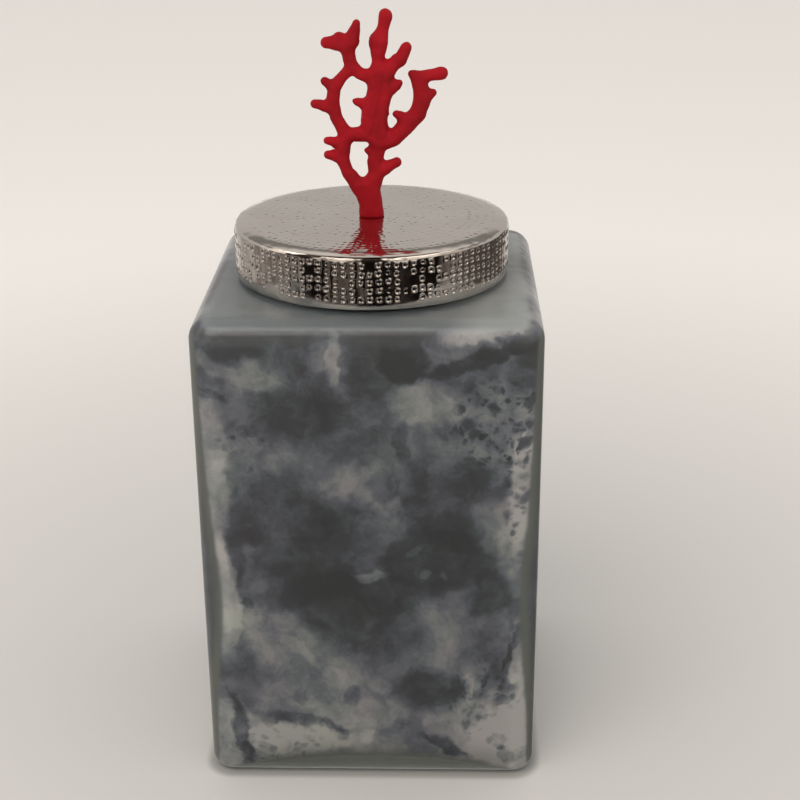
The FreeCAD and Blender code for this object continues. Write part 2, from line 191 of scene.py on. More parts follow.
# --- Marbled enamel ---------------------------------------------------------------------
# Drifts of ink on the front, in body widths from the foot of its middle:
# (across, up, half width, half height, slant in degrees, softness, ink added).
FRONT_DRIFTS = (
    # top band
    (-0.12, 1.45, 0.34, 0.04, 0, 0.8, 0.22),
    (-0.37, 1.41, 0.11, 0.05, 0, 0.6, 0.30),
    (-0.20, 1.39, 0.06, 0.09, 0, 0.7, 0.25),
    (-0.36, 1.33, 0.12, 0.035, -22, 0.4, -0.17),
    (-0.44, 1.27, 0.05, 0.015, -20, 0.5, 0.22),
    (-0.09, 1.37, 0.018, 0.09, 6, 0.6, -0.32),
    (-0.13, 1.37, 0.035, 0.025, 30, 0.6, -0.15),
    (0.10, 1.37, 0.08, 0.08, 0, 0.35, 0.34),
    (0.01, 1.33, 0.06, 0.12, 0, 0.9, 0.20),
    (0.20, 1.44, 0.07, 0.035, -30, 0.3, 0.12),
    (0.36, 1.445, 0.14, 0.03, 8, 0.4, -0.36),
    (0.32, 1.365, 0.15, 0.024, 17, 0.7, 0.38),
    (0.45, 1.385, 0.04, 0.045, 0, 0.6, 0.22),
    # upper half
    (-0.445, 1.16, 0.045, 0.15, 0, 0.6, -0.27),
    (-0.20, 1.20, 0.15, 0.08, 0, 0.8, 0.28),
    (-0.35, 1.12, 0.035, 0.05, 0, 0.8, 0.06),
    (-0.25, 1.05, 0.05, 0.035, 0, 0.7, -0.12),
    (-0.08, 1.00, 0.06, 0.06, 0, 0.8, -0.18),
    (0.16, 1.23, 0.11, 0.075, 0, 0.6, -0.30),
    (0.09, 1.12, 0.022, 0.06, 0, 0.6, 0.16),
    (0.23, 1.17, 0.055, 0.055, 0, 0.4, 0.16),
    (0.455, 1.24, 0.024, 0.022, 0, 0.3, 0.35),
    (0.455, 1.00, 0.04, 0.20, 0, 0.7, -0.28),
    (0.23, 0.93, 0.12, 0.13, 0, 0.8, 0.20),
    (0.05, 0.98, 0.075, 0.08, 0, 0.5, -0.12),
    (0.05, 0.98, 0.045, 0.050, 0, 0.6, 0.18),
    # middle
    (-0.440, 0.90, 0.042, 0.16, 0, 0.6, -0.33),
    (-0.23, 0.86, 0.15, 0.09, 0, 0.9, 0.17),
    (-0.05, 0.86, 0.12, 0.06, 0, 0.9, 0.10),
    (-0.430, 0.62, 0.040, 0.20, 0, 0.5, -0.40),
    (-0.38, 0.73, 0.028, 0.08, -8, 0.6, 0.22),
    (-0.37, 0.59, 0.022, 0.020, 0, 0.5, 0.20),
    (-0.16, 0.70, 0.13, 0.12, 0, 0.8, 0.26),
    (-0.03, 0.56, 0.17, 0.14, 0, 0.8, 0.26),
    (0.21, 0.73, 0.17, 0.10, 0, 0.6, 0.30),
    (0.00, 0.69, 0.04, 0.020, 5, 0.6, -0.38),
    (0.16, 0.70, 0.014, 0.014, 0, 0.5, -0.20),
    (0.22, 0.70, 0.014, 0.014, 0, 0.5, -0.18),
    (0.12, 0.76, 0.025, 0.010, 30, 0.5, -0.18),
    (0.36, 0.62, 0.06, 0.08, 0, 0.6, 0.19),
    (0.42, 0.80, 0.05, 0.13, 0, 0.5, -0.26),
    (0.35, 0.87, 0.05, 0.08, 0, 0.8, -0.20),
    # lower left
    (-0.28, 0.47, 0.16, 0.09, -40, 0.7, -0.27),
    (-0.21, 0.42, 0.07, 0.020, -45, 0.5, -0.16),
    (-0.39, 0.30, 0.06, 0.08, 0, 0.7, 0.13),
    (-0.21, 0.18, 0.15, 0.020, -12, 0.9, 0.30),
    (-0.40, 0.14, 0.026, 0.13, 8, 0.6, 0.46),
    (-0.24, 0.12, 0.17, 0.055, -4, 0.4, -0.28),
    (-0.32, 0.10, 0.024, 0.022, 0, 0.5, 0.28),
    (-0.23, 0.08, 0.020, 0.018, 0, 0.5, 0.28),
    (-0.10, 0.14, 0.030, 0.030, 0, 0.5, 0.24),
    (-0.06, 0.34, 0.045, 0.040, 0, 0.7, -0.09),
    (-0.05, 0.29, 0.030, 0.030, 0, 0.6, 0.18),
    (-0.22, 0.27, 0.020, 0.024, 0, 0.6, 0.16),
    # lower right
    (0.19, 0.48, 0.15, 0.10, 0, 0.9, -0.12),
    (0.43, 0.45, 0.010, 0.09, -15, 0.3, 0.36),
    (0.445, 0.42, 0.02, 0.12, 0, 0.5, -0.30),
    (0.18, 0.30, 0.11, 0.07, 0, 0.6, 0.38),
    (0.30, 0.30, 0.013, 0.06, 0, 0.5, -0.20),
    (0.38, 0.29, 0.04, 0.065, 0, 0.8, 0.08),
    (0.42, 0.15, 0.10, 0.125, 0, 0.8, -0.48),
    (0.39, 0.13, 0.032, 0.028, -10, 0.7, 0.46),
    (0.41, 0.08, 0.022, 0.038, 12, 0.7, 0.46),
    (0.38, 0.33, 0.050, 0.040, 0, 0.9, 0.24),
    (0.40, 0.27, 0.030, 0.018, 20, 0.8, 0.36),
    (0.33, 0.42, 0.050, 0.030, 0, 0.9, 0.10),
    (0.14, 0.19, 0.030, 0.020, 0, 0.9, 0.06),
    (0.455, 0.06, 0.026, 0.022, 0, 0.3, 0.20),
    (0.23, 0.10, 0.08, 0.018, -25, 0.6, 0.38),
    (0.08, 0.14, 0.065, 0.045, 0, 0.7, 0.13),
    (-0.01, 0.12, 0.022, 0.030, 0, 0.5, -0.18),
)
# Where the ink broke into specks, as drifts with a strength instead of ink.
SPECKLED = (
    (0.37, 1.17, 0.13, 0.13, 0, 0.6, 1.0),
    (0.44, 0.95, 0.05, 0.22, 0, 0.6, 0.7),
    (-0.36, 1.09, 0.07, 0.07, 0, 0.8, 0.45),
    (0.36, 0.22, 0.12, 0.16, 0, 0.8, 0.5),
    (-0.26, 0.12, 0.18, 0.08, 0, 0.8, 0.5),
)
# The front begins and is whole at these places on Y.
FRONT_FADE = (-0.36, -0.44)
# Noises that move a place before it is looked up: (scale, how far).
SMOKE = ((4.5, 0.10), (13.0, 0.055), (40.0, 0.02))
BREAK_UP = ((9.0, 0.06), (26.0, 0.030), (70.0, 0.012))
INK_BASE = 0.56
# Ink taken or given by each of the noises, from its least to its most.
WIDE_INK = (-0.34, 0.30)
MOTTLE_INK = (-0.17, 0.17)
WIDE_SCALE = 3.0
WIDE_STIR = 0.25
DROP_SCALES = (18.0, 38.0)
DROP_INK = 0.60
BETWEEN_DROPS_INK = -0.20
LACE_SCALE = 8.0
LACE_INK = -0.34
LACE_BALANCE = 0.15
# The enamel pales towards the foot, between these heights.
FOOT_FADE = (0.45, 0.12)
FOOT_INK = -0.29
OFF_FRONT_SPECKS = 0.5
# On the front, this share of the broad clouds and of the loose specks is left out.
FRONT_CLEARS = 0.9
# Where a noise's soft step starts and ends.
WIDE_EDGES = (0.36, 0.64)
MOTTLE_EDGES = (0.28, 0.72)
# A spot fades in between these distances from its middle.
SPOT_EDGE = (0.72, 0.30)
SPOT_SHRINK = 0.35
SPOT_WEAKEST = 0.4
SPOT_SPREAD = 0.7
# What one drift is given.
DRIFT_NUMBERS = ("Sum", "Inner", "Outer", "Ink")
DRIFT_VECTORS = ("Place", "Centre", "Along", "Up")


def drift_group():
    """Node group: adds one slanted soft-edged drift to a running sum."""
    group = bpy.data.node_groups.new("drift", "ShaderNodeTree")
    for name in DRIFT_NUMBERS:
        group.interface.new_socket(name, in_out="INPUT", socket_type="NodeSocketFloat")
    for name in DRIFT_VECTORS:
        group.interface.new_socket(name, in_out="INPUT", socket_type="NodeSocketVector")
    group.interface.new_socket("Sum", in_out="OUTPUT", socket_type="NodeSocketFloat")
    given = node(group, "NodeGroupInput").outputs
    offset = vector_maths(group, "SUBTRACT", given["Place"], given["Centre"])
    along = vector_maths(group, "DOT_PRODUCT", offset, given["Along"])
    upwards = vector_maths(group, "DOT_PRODUCT", offset, given["Up"])
    flat = node(group, "ShaderNodeCombineXYZ", {"X": along, "Y": upwards}).outputs["Vector"]
    away = vector_maths(group, "LENGTH", flat)
    inside = smooth_step(group, away, given["Outer"], given["Inner"])
    total = maths(group, "MULTIPLY_ADD", inside, given["Ink"], given["Sum"])
    node(group, "NodeGroupOutput", {"Sum": total})
    return group


def drifts(material, group, place, shapes):
    """The sum of a list of drifts at a place given in body widths."""
    total = 0.0
    for across, up, half_width, half_height, slant, softness, ink in shapes:
        turn = math.radians(slant)
        inputs = {
            "Sum": total,
            "Place": place,
            "Centre": (across, 0.0, up),
            "Along": (math.cos(turn) / half_width, 0.0, math.sin(turn) / half_width),
            "Up": (-math.sin(turn) / half_height, 0.0, math.cos(turn) / half_height),
            "Inner": 1 - 0.5 * softness,
            "Outer": 1 + 0.5 * softness,
            "Ink": ink,
        }
        total = node(material, "ShaderNodeGroup", inputs, node_tree=group).outputs["Sum"]
    return total


def warped(material, place, scale, amount):
    """Move each place by a soft noise, so that round drifts get smoky edges."""
    swirl = noise_texture(material, place, scale, roughness=0.6, output="Color")
    swirl = vector_maths(material, "SUBTRACT", swirl, (0.5, 0.5, 0.5))
    swirl = vector_maths(material, "SCALE", swirl, scale=amount)
    return vector_maths(material, "ADD", place, swirl)


def swirled(material, place, swirls):
    """Move each place by several soft noises, one after the other."""
    for scale, amount in swirls:
        place = warped(material, place, scale, amount)
    return place


def spots(material, place, scale):
    """Round soft spots of mixed sizes and strengths: 0 between them."""
    cells = node(material, "ShaderNodeTexVoronoi", {"Vector": place, "Scale": scale}).outputs
    chance = parts_of(material, cells["Color"])
    shrunk = maths(material, "MULTIPLY_ADD", chance["X"], SPOT_SHRINK, cells["Distance"])
    strength = maths(material, "MULTIPLY_ADD", chance["Y"], SPOT_SPREAD, SPOT_WEAKEST)
    return maths(material, "MULTIPLY", smooth_step(material, shrunk, *SPOT_EDGE), strength)


def specks(material, place):
    """The ink of torn drops, darker on them and paler between them."""
    loose = swirled(material, place, BREAK_UP)
    large, small = (spots(material, loose, scale) for scale in DROP_SCALES)
    drops = maths(material, "MAXIMUM", large, small)
    return maths(material, "MULTIPLY_ADD", drops, DROP_INK, BETWEEN_DROPS_INK)


def wide_clouds(material, place):
    """The ink of broad clouds, for the sides and the back."""
    loose = warped(material, place, WIDE_SCALE, WIDE_STIR)
    wide = noise_texture(material, loose, WIDE_SCALE, detail=5.0, roughness=0.55)
    return smooth_step(material, wide, *WIDE_EDGES, *WIDE_INK)


def lace(material, smoky):
    """The ink of a net of soft cells."""
    inputs = {"Vector": smoky, "Scale": LACE_SCALE}
    cells = node(material, "ShaderNodeTexVoronoi", inputs, feature="SMOOTH_F1").outputs
    return maths(material, "MULTIPLY_ADD", cells["Distance"], LACE_INK, LACE_BALANCE)


def ink_level(material, place):
    """How dark the enamel is: placed one by one on the front, by noise on the other sides."""
    group = drift_group()
    parts = parts_of(material, place)
    on_front = smooth_step(material, parts["Y"], *FRONT_FADE)
    off_front = maths(material, "MULTIPLY_ADD", on_front, -FRONT_CLEARS, 1.0)
    smoky = swirled(material, place, SMOKE)
    placed = drifts(material, group, smoky, FRONT_DRIFTS)
    ink = maths(material, "MULTIPLY_ADD", placed, on_front, INK_BASE)
    ink = maths(material, "MULTIPLY_ADD", wide_clouds(material, place), off_front, ink)
    ink = maths(material, "ADD", ink, smooth_step(material, parts["Z"], *FOOT_FADE, 0.0, FOOT_INK))
    mottle = noise_texture(material, smoky, scale=12.0, detail=7.0, roughness=0.68)
    ink = maths(material, "ADD", ink, smooth_step(material, mottle, *MOTTLE_EDGES, *MOTTLE_INK))
    broken = maths(material, "MULTIPLY", drifts(material, group, place, SPECKLED), on_front)
    broken = maths(material, "MULTIPLY_ADD", off_front, OFF_FRONT_SPECKS, broken)
    ink = maths(material, "MULTIPLY_ADD", specks(material, place), broken, ink)
    return maths(material, "ADD", ink, lace(material, smoky))


# Ink from none to full, and the faint tints it drifts through.
INK_RAMP = (
    (0.0, (0.74, 0.70, 0.66)),
    (0.25, (0.47, 0.46, 0.45)),
    (0.45, (0.278, 0.288, 0.308)),
    (0.65, (0.160, 0.168, 0.192)),
    (0.80, (0.108, 0.110, 0.119)),
    (1.0, (0.076, 0.077, 0.081)),
)
TINTS = ((0.35, (0.94, 1.0, 0.99)), (0.5, (0.97, 0.99, 1.04)), (0.65, (0.99, 0.965, 1.04)))
CALM_INK = 0.66
CALM_SHARE = 0.7
ROOF_SHARE = 0.85
# Painted light: the roof is paler where light falls on the top, and a painted highlight makes it paler
# still on the right.
LIT_ROOF_COLOUR = (0.40, 0.435, 0.465)
ROOF_RIGHT_HIGHLIGHT = (0.66, 0.69, 0.70)
# Painted shade: dark grey-green on the enamel where the side walls meet the front and back corners, for the
# dark of the thick glass seen edge-on there.
CORNER_SHADE_COLOUR = (0.222, 0.234, 0.212)
# Painted shade: the rounded edge of the underside is darker.
FOOT_EDGE_SHADE = (0.36, 0.37, 0.33)
FOOT_FLAT = (0.68, 0.69, 0.63)
# Where each region starts and is whole: by the way a face points, or by its place in body widths.
SIDE_FACING = (0.74, 0.90)
NEAR_CORNER = (0.30, 0.40)
CORNER_SHADE_SPAN = (0.396, 0.410)
ROOF_FACING = (0.78, 0.90)
ROOF_UNEVEN = 0.2
ROOF_HIGHLIGHT_SPAN = (0.20, 0.34)
UNDER_FACING = (-0.62, -0.82)
FLAT_FACING = (-0.80, -0.97)


def inked(material, place, sideways):
    """The marbling, calmer where the corners turn away from the front and the back."""
    near_corner = smooth_step(material, size_of(material, parts_of(material, place)["Y"]), *NEAR_CORNER)
    calm = maths(material, "MULTIPLY", maths(material, "MULTIPLY", sideways, near_corner), CALM_SHARE)
    ink = node(material, "ShaderNodeMix", {"Factor": calm, "A": ink_level(material, place), "B": CALM_INK})
    tint = ramp(material, noise_texture(material, place, scale=4.5), TINTS)
    return mix_colour(material, 1.0, ramp(material, ink.outputs["Result"], INK_RAMP), tint, "MULTIPLY")


def with_lit_roof(material, place, facing, colour):
    """A roof paled by painted light where light falls on the top, with a painted highlight paler still on
    the right, and an uneven edge.
    """
    cloudy = noise_texture(material, place, scale=6.0, detail=4.0, roughness=0.6, distortion=0.5)
    upwards = maths(material, "MULTIPLY_ADD", cloudy, -ROOF_UNEVEN, facing["Z"])
    on_lit_roof = smooth_step(material, upwards, *ROOF_FACING, 0.0, ROOF_SHARE)
    toward_highlight = smooth_step(material, parts_of(material, place)["X"], *ROOF_HIGHLIGHT_SPAN)
    return mix_colour(material, on_lit_roof, colour, mix_colour(material, toward_highlight, LIT_ROOF_COLOUR, ROOF_RIGHT_HIGHLIGHT))


def with_foot(material, facing, colour):
    """A plain underside with a darker rounded edge of painted shade."""
    flat_foot = smooth_step(material, facing["Z"], *FLAT_FACING)
    foot_colour = mix_colour(material, flat_foot, FOOT_EDGE_SHADE, FOOT_FLAT)
    underneath = smooth_step(material, facing["Z"], *UNDER_FACING)
    return mix_colour(material, underneath, colour, foot_colour)


def marbled_enamel():
    """Ink clouds on pale enamel, with a calm roof paled by painted light, corners of painted shade, and a
    plain underside with an edge of painted shade.
    """
    material, shader = new_material("marbled_enamel", Roughness=0.45, IOR=1.5)
    place = vector_maths(material, "SCALE", object_coords(material), scale=1 / WIDTH)
    facing = parts_of(material, node(material, "ShaderNodeNewGeometry").outputs["Normal"])
    sideways = smooth_step(material, size_of(material, facing["X"]), *SIDE_FACING)
    colour = inked(material, place, sideways)
    colour = with_lit_roof(material, place, facing, colour)
    # Painted shade: plain dark grey-green near the corners of the side walls.
    corner = smooth_step(material, size_of(material, parts_of(material, place)["Y"]), *CORNER_SHADE_SPAN)
    colour = mix_colour(material, maths(material, "MULTIPLY", sideways, corner), colour, CORNER_SHADE_COLOUR)
    colour = with_foot(material, facing, colour)
    join(material, colour, shader, "Base Color")
    return material


COAT_SINK = 0.08 * MM
# Points this close are one point.
WELD = 0.002 * MM


def marbled_coat():
    """The enamel, its outside sunk a hair into the glass, so that no air shows between them."""
    mesh = NODES["marbled_lining"].data.copy()
    made = bmesh.new()
    made.from_mesh(mesh)
    bmesh.ops.remove_doubles(made, verts=made.verts, dist=WELD)
    bmesh.ops.recalc_face_normals(made, faces=made.faces)
    made.normal_update()
    moves = [vertex.normal * COAT_SINK for vertex in made.verts]
    for vertex, move in zip(made.verts, moves):
        vertex.co += move
    made.to_mesh(mesh)
    made.free()
    new_piece("enamel_coat", mesh, marbled_enamel(), "jar", "marbled_lining")


# --- Hammered lid -----------------------------------------------------------------------
# The cap's outline: flat in the middle, a wide ease, a tight rim, a straight side, a hem turned in.
EASE_START = LID_RADIUS - 8.0 * MM
EASE_RADIUS = 30.0 * MM
RIM_RADIUS = 1.5 * MM
RIM_CENTRE = LID_RADIUS - RIM_RADIUS
RIM_DROP = EASE_RADIUS - math.sqrt((EASE_RADIUS - RIM_RADIUS) ** 2 - (RIM_CENTRE - EASE_START) ** 2)
EASE_TILT = math.asin((RIM_CENTRE - EASE_START) / (EASE_RADIUS - RIM_RADIUS))
HEM_RADIUS = 4.5 * MM
HEM_HEIGHT = 2.0 * MM
LIP = 0.25 * MM
SHEET = 1.2 * MM
SCREW_HOLE = 2.25 * MM
SIDE_BOTTOM = LID_LOW.z + HEM_HEIGHT + LIP
SIDE_TOP = LID_TOP - RIM_DROP
TOP_EDGE = RIM_CENTRE - 3.0 * MM

# The side's cells, and the points along each edge of a cell.
COLUMNS = 104
SIDE_ROWS = 5
SIDE_STEPS = 4
TOP_STEPS = 3
DENT_RADIUS = 1.05 * MM
SIDE_DENT_DEPTH = 0.17 * MM
TOP_DENT_DEPTH = 0.070 * MM
# One dent from outside inwards: (share of its radius, share of its depth); its lip stands proud.
SIDE_DENT = ((1.30, 0.0), (1.14, -0.48), (1.02, -0.74), (0.90, -0.40), (0.72, 0.62), (0.56, 0.94))
TOP_DENT = ((1.12, 0.0), (0.80, 0.40), (0.44, 0.95))
LIP_ROOM = 0.16 * MM
# The top's rings of cells from the edge inwards: (columns, rings).
TOP_ZONES = ((COLUMNS, 4), (COLUMNS // 2, 6), (COLUMNS // 4, 3), (COLUMNS // 8, 1))
# Shares of the dents' full depth, from which each dent draws one; 0 leaves its cell plain.
SIDE_DEPTHS = (0.0, 0.4, 0.7, 0.8, 0.9, 1.0, 1.0, 1.1)
TOP_DEPTHS = (0.2, 0.4, 0.7, 0.9, 1.0, 1.3)
# Shares of the dents' radius, the room that a dent needs on top, and how much it may take on the side.
SIDE_SIZES = (0.74, 1.08)
TOP_SIZES = (0.75, 1.0)
TOP_ROOM = 1.2
SIDE_FILL = 0.98
TOP_CENTRE = 6.2 * MM
TOP_WAVE = 0.06 * MM
SIDE_WAVE = 0.20 * MM
RIM_WAVE = 0.28 * MM
TOP_WAVE_SIZE = Vector((7, 7, 7)) * MM
SIDE_WAVE_SIZE = Vector((2.6, 2.6, 7)) * MM
RIM_WAVE_SIZE = Vector((3.2, 3.2, 3.2)) * MM
JITTER = 0.50 * MM


def wave(place, size, height):
    """A soft random wave between nothing and a height."""
    return height * (1 + noise.noise([part / step for part, step in zip(place, size)])) / 2


def hammer_wave(place, tilt):
    """How far the hammering sinks the sheet: softly on top, in lumps on the rim, in ripples on the side."""
    top = wave(place, TOP_WAVE_SIZE, TOP_WAVE)
    side = LIP_ROOM + wave(place, SIDE_WAVE_SIZE, SIDE_WAVE)
    rim = wave(place, RIM_WAVE_SIZE, RIM_WAVE) * math.sin(2 * tilt)
    return top + (side - top) * math.sin(tilt) ** 2 + rim


def top_height(radius):
    """The height of the cap's top at a distance from its axis."""
    out = max(radius - EASE_START, 0.0)
    return LID_TOP - EASE_RADIUS + math.sqrt(EASE_RADIUS ** 2 - out ** 2)


def around(angle):
    return Vector((math.cos(angle), math.sin(angle), 0))


def on_side(point, lift):
    """Lift a flat point (distance round, height) onto the cap's side."""
    outward = around(point.x / LID_RADIUS)
    base = outward * LID_RADIUS + Vector((0, 0, point.y))
    return base + outward * (lift - hammer_wave(base, math.pi / 2))


def on_top(point, lift):
    base = Vector((point.x, point.y, top_height(point.length)))
    return base + Vector((0, 0, lift - hammer_wave(base, 0.0)))


def dented_cell(made, outline, centre, radius, depth, rings, place):
    """Fill a cell with one round dent; a cell of no depth stays plain."""
    loops = [[made.verts.new(place(point, 0.0)) for point in outline]]
    for share, sink in rings if depth else ():
        reach = radius * share
        loops.append([
            made.verts.new(place(centre + (point - centre).normalized() * reach, -depth * sink))
            for point in outline
        ])
    for outer, inner in zip(loops, loops[1:]):
        bridge(made, outer, inner)
    middle = made.verts.new(place(centre, -depth))
    last = loops[-1]
    for first, second in zip(last, last[1:] + last[:1]):
        made.faces.new((first, second, middle))


def bridge(made, lower, upper):
    """Join two loops of as many points with a band of faces."""
    for i in range(len(lower)):
        j = (i + 1) % len(lower)
        made.faces.new((lower[i], lower[j], upper[j], upper[i]))


def side_cell(corners):
    """Points along a cell's four sides."""
    points = []
    for first, second in zip(corners, corners[1:] + corners[:1]):
        points += [first.lerp(second, k / SIDE_STEPS) for k in range(SIDE_STEPS)]
    return points


def side_grid(chance):
    """The corners of the side's cells, unevenly spaced as a hand leaves them."""
    column = 2 * math.pi * LID_RADIUS / COLUMNS
    row = (SIDE_TOP - SIDE_BOTTOM) / SIDE_ROWS
    grid = []
    for i in range(COLUMNS):
        drift = chance.uniform(-1, 1) * JITTER
        corners = []
        for j in range(SIDE_ROWS + 1):
            inside = 0 < j < SIDE_ROWS
            shift = Vector((chance.uniform(-1, 1) * JITTER, drift + chance.uniform(-0.5, 0.5) * JITTER, 0))
            corners.append(Vector((i * column, SIDE_BOTTOM + j * row, 0)) + shift * inside)
        grid.append(corners)
    grid.append([corner + Vector((2 * math.pi * LID_RADIUS, 0, 0)) for corner in grid[0]])
    return grid


def hammer_side(made, chance):
    grid = side_grid(chance)
    for left, right in zip(grid, grid[1:]):
        for j in range(SIDE_ROWS):
            corners = [left[j], right[j], right[j + 1], left[j + 1]]
            centre = sum(corners, Vector()) / 4
            outline = side_cell(corners)
            room = min((point - centre).length for point in outline) / SIDE_DENT[0][0]
            size = min(DENT_RADIUS * chance.uniform(*SIDE_SIZES), room * SIDE_FILL)
            depth = SIDE_DENT_DEPTH * chance.choice(SIDE_DEPTHS)
            dented_cell(made, outline, centre, size, depth, SIDE_DENT, on_side)


def top_cell(start, end, outer, inner, outer_steps):
    """The outline of a cell between two angles and two radii, once round from the outer far corner."""
    turn = end - start
    width = outer - inner
    outline = [around(end - turn * k / outer_steps) * outer for k in range(outer_steps)]
    outline += [around(start) * (outer - width * k / TOP_STEPS) for k in range(TOP_STEPS)]
    outline += [around(start + turn * k / TOP_STEPS) * inner for k in range(TOP_STEPS)]
    outline += [around(end) * (inner + width * k / TOP_STEPS) for k in range(TOP_STEPS)]
    return outline


def hammer_top(made, chance):
    """Dents on the top in rings; where a ring gets short, its columns halve."""
    width = (TOP_EDGE - TOP_CENTRE) / sum(rings for _, rings in TOP_ZONES)
    outer = TOP_EDGE
    outer_steps = SIDE_STEPS
    for columns, rings in TOP_ZONES:
        turn = 2 * math.pi / columns
        for _ in range(rings):
            inner = outer - width
            middle = (inner + outer) / 2
            for i in range(columns):
                outline = top_cell(i * turn, (i + 1) * turn, outer, inner, outer_steps)
                size = DENT_RADIUS * chance.uniform(*TOP_SIZES)
                slack = max(middle * turn / 2 - size * TOP_ROOM, 0) / (middle * turn)
                spare = max(width / 2 - size * TOP_ROOM, 0)
                angle = (i + 0.5 + chance.uniform(-1, 1) * slack) * turn
                centre = around(angle) * (middle + chance.uniform(-1, 1) * spare)
                depth = TOP_DENT_DEPTH * chance.choice(TOP_DEPTHS)
                dented_cell(made, outline, centre, size, depth, TOP_DENT, on_top)
            outer = inner
            outer_steps = TOP_STEPS
        outer_steps = TOP_STEPS * 2
    return outer


def ring(made, radius, height, tilt=None, count=COLUMNS * SIDE_STEPS):
    """A ring of points; with a tilt, each sinks by the hammering along that slope."""
    points = []
    for i in range(count):
        outward = around(2 * math.pi * i / count)
        place = outward * radius + Vector((0, 0, height))
        if tilt is not None:
            place -= (outward * math.sin(tilt) + Vector((0, 0, math.cos(tilt)))) * hammer_wave(place, tilt)
        points.append(made.verts.new(place))
    return points


def rim_rings(made, steps=8):
    """From the top of the side up over the tight rim and in to the first dents of the top."""
    rings = []
    for k in range(steps + 1):
        tilt = math.pi / 2 + (EASE_TILT - math.pi / 2) * k / steps
        radius = RIM_CENTRE + RIM_RADIUS * math.sin(tilt)
        rings.append(ring(made, radius, SIDE_TOP + RIM_RADIUS * math.cos(tilt), tilt))
    rings.append(ring(made, TOP_EDGE, top_height(TOP_EDGE), 0.0))
    return rings


def hem_rings(made, steps=4):
    """From the foot of the side down round the hem, then up the plain inside to the hole."""
    rings = [ring(made, LID_RADIUS, SIDE_BOTTOM, math.pi / 2)]
    turn = math.asin(HEM_HEIGHT / HEM_RADIUS)
    for k in range(1, steps + 1):
        angle = turn * k / steps
        radius = LID_RADIUS - HEM_RADIUS * (1 - math.cos(angle))
        rings.append(ring(made, radius, SIDE_BOTTOM - HEM_RADIUS * math.sin(angle), math.pi / 2))
    edge = LID_RADIUS - HEM_RADIUS * (1 - math.cos(turn))
    inner = LID_RADIUS - SHEET
    ceiling = LID_TOP - SHEET
    inside = (
        (edge - LIP, LID_LOW.z),
        (inner + LIP, LID_LOW.z),
        (inner, LID_LOW.z + LIP),
        (inner, SIDE_TOP - RIM_RADIUS),
        (EASE_START, ceiling),
        (TOP_CENTRE, ceiling),
    )
    rings += [ring(made, radius, height) for radius, height in inside]
    return rings


def close_hole(made, outer, height):
    """Fill a ring at a height down to the screw's hole."""
    hole = ring(made, SCREW_HOLE, height, count=len(outer))
    bridge(made, outer, hole)
    return hole


def loop_edges(points):
    """The edges between neighbours of a loop of vertices."""
    found = []
    for first, second in zip(points, points[1:] + points[:1]):
        found += [edge for edge in first.link_edges if edge.other_vert(first) is second]
    return found


def nickel():
    material, shader = new_material("hammered_nickel", Metallic=1.0)
    clouded(material, shader, 60.0, (0.66, 0.61, 0.56), (0.72, 0.67, 0.62))
    rubbed = noise_texture(material, object_coords(material), scale=220.0)
    join(material, smooth_step(material, rubbed, 0.3, 0.8, 0.07, 0.16), shader, "Roughness")
    return material


def hammered_lid():
    """The cap as it looks: dented top and side, uneven rim, hem turned in, plain inside."""
    chance = random.Random(7)
    made = bmesh.new()
    hammer_side(made, chance)
    top_hole = hammer_top(made, chance)
    for rings in (rim_rings(made), hem_rings(made)):
        for lower, upper in zip(rings, rings[1:]):
            bridge(made, lower, upper)
    inside = ring(made, TOP_CENTRE, LID_TOP - SHEET)
    lower_hole = close_hole(made, inside, LID_TOP - SHEET)
    last_columns = TOP_ZONES[-1][0]
    top_ring = ring(made, top_hole, LID_TOP, tilt=0.0, count=last_columns * TOP_STEPS)
    upper_hole = close_hole(made, top_ring, LID_TOP)
    bmesh.ops.bridge_loops(made, edges=loop_edges(lower_hole) + loop_edges(upper_hole))
    bmesh.ops.remove_doubles(made, verts=made.verts, dist=WELD)
    bmesh.ops.recalc_face_normals(made, faces=made.faces)
    mesh = bpy.data.meshes.new("hammered_cap")
    made.to_mesh(mesh)
    made.free()
    mesh.shade_smooth()
    new_piece("hammered_cap", mesh, nickel(), "lid", "lid_cap")


# --- Coral ------------------------------------------------------------------------------
CORAL_VOXEL = 0.40 * MM
CORAL_SOFTNESS = 0.6
CORAL_SWELL = 0.75 * MM
CORAL_SLIM = 0.42 * MM
# How high the cast lumps and the grain rise, and how wide they are.
CORAL_LUMPS = 0.22 * MM
CORAL_LUMP_SIZE = 3.2 * MM
CORAL_GRAIN = 0.07 * MM
CORAL_GRAIN_SIZE = 0.9 * MM
CORAL_FOOT = 1.5 * MM
CORAL_SET = 0.5 * MM
# The fold down the front of the main stem, (across, up) from the foot in millimetres.
CREASE = ((5.2, 54.0), (4.1, 45.5), (1.7, 36.0), (0.4, 31.0))
CREASE_WIDTH = 0.9 * MM
CREASE_DEPTH = 0.35 * MM


def red_enamel():
    material, shader = new_material("red_enamel", Roughness=0.55, IOR=1.5, Specular_IOR_Level=0.15)
    clouded(material, shader, 90.0, (0.25, 0.003, 0.007), (0.36, 0.005, 0.011), edges=(0.35, 0.65))
    pores = noise_texture(material, object_coords(material), scale=420.0, detail=4.0, roughness=0.6)
    bump(material, shader, pores, strength=0.35, distance=0.25 * MM)
    return material


def swell(piece, amount):
    """Move every point along its normal."""
    mesh = piece.data
    moved = [vertex.co + vertex.normal * amount for vertex in mesh.vertices]
    for vertex, place in zip(mesh.vertices, moved):
        vertex.co = place


def melt(piece, voxel, rounds):
    """Remesh into one skin and smooth it."""
    remesh = piece.modifiers.new("melt", "REMESH")
    remesh.mode = "VOXEL"
    remesh.voxel_size = voxel
    soften = piece.modifiers.new("soften", "SMOOTH")
    soften.iterations = rounds
    soften.factor = CORAL_SOFTNESS
    graph = bpy.context.evaluated_depsgraph_get()
    melted = bpy.data.meshes.new_from_object(piece.evaluated_get(graph))
    piece.modifiers.clear()
    piece.data = melted


